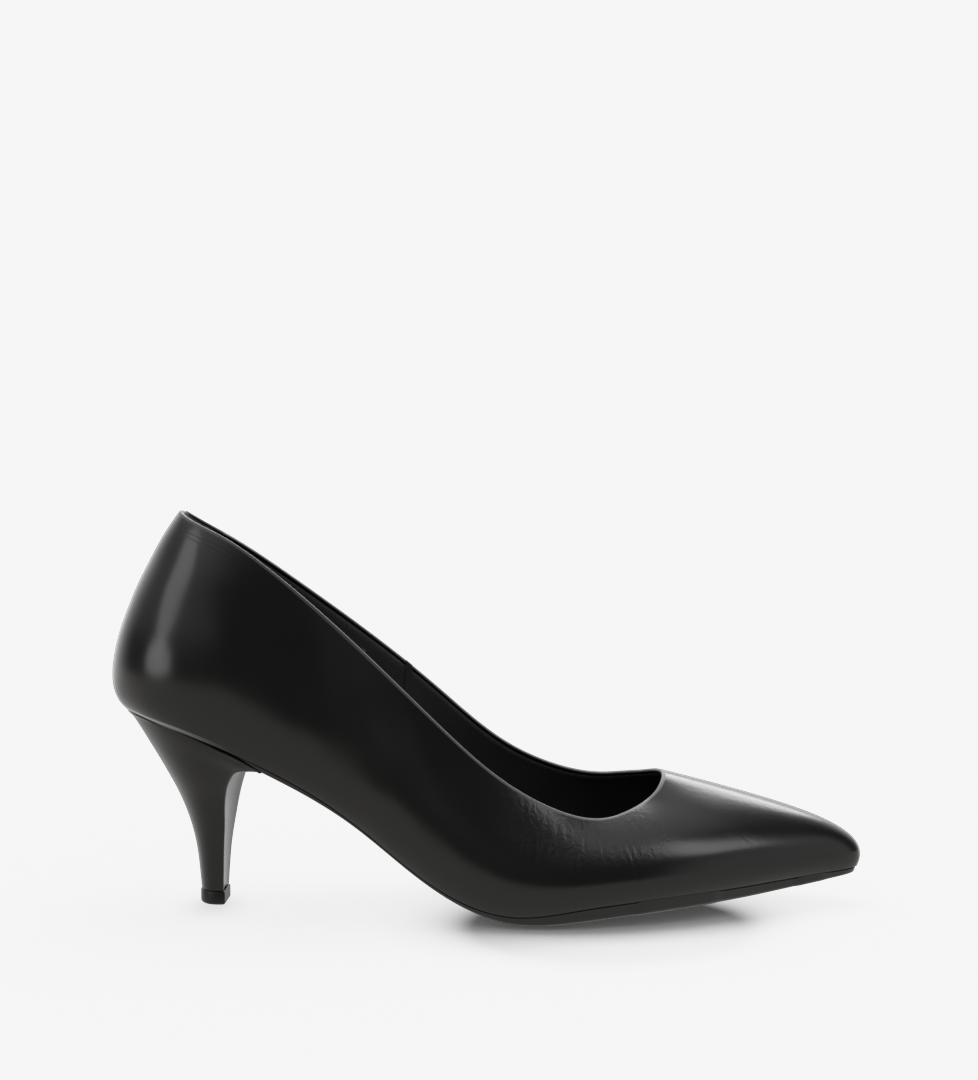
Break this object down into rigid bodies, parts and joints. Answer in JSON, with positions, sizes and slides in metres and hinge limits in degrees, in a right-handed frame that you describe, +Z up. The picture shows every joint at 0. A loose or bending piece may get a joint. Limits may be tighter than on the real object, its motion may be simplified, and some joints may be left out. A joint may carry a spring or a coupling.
{
  "type": "stiletto pump",
  "caption": "Pointed-toe court shoe for the right foot: hollow leather upper with an open topline, arched sole, and a slim flared mid heel.",
  "frame": {"origin": "centre of the bounding box on the floor under the sole", "axes": "+X along the shoe towards the toe, +Y to the inner (medial) side, +Z up"},
  "size_m": [0.245, 0.0776, 0.1295],
  "materials": {
    "upper_leather": "smooth black leather, soft sheen",
    "sock_lining": "matt black lining leather",
    "sole_rubber": "black, satin edge",
    "heel_cover": "smooth black leather over a moulded block",
    "lift_rubber": "matt black"
  },
  "bodies": {
    "root": {"upper": "upper_leather", "insole": "sock_lining", "outsole": "sole_rubber", "heel": "heel_cover", "top_lift": "lift_rubber"}
  },
  "joints": []
}
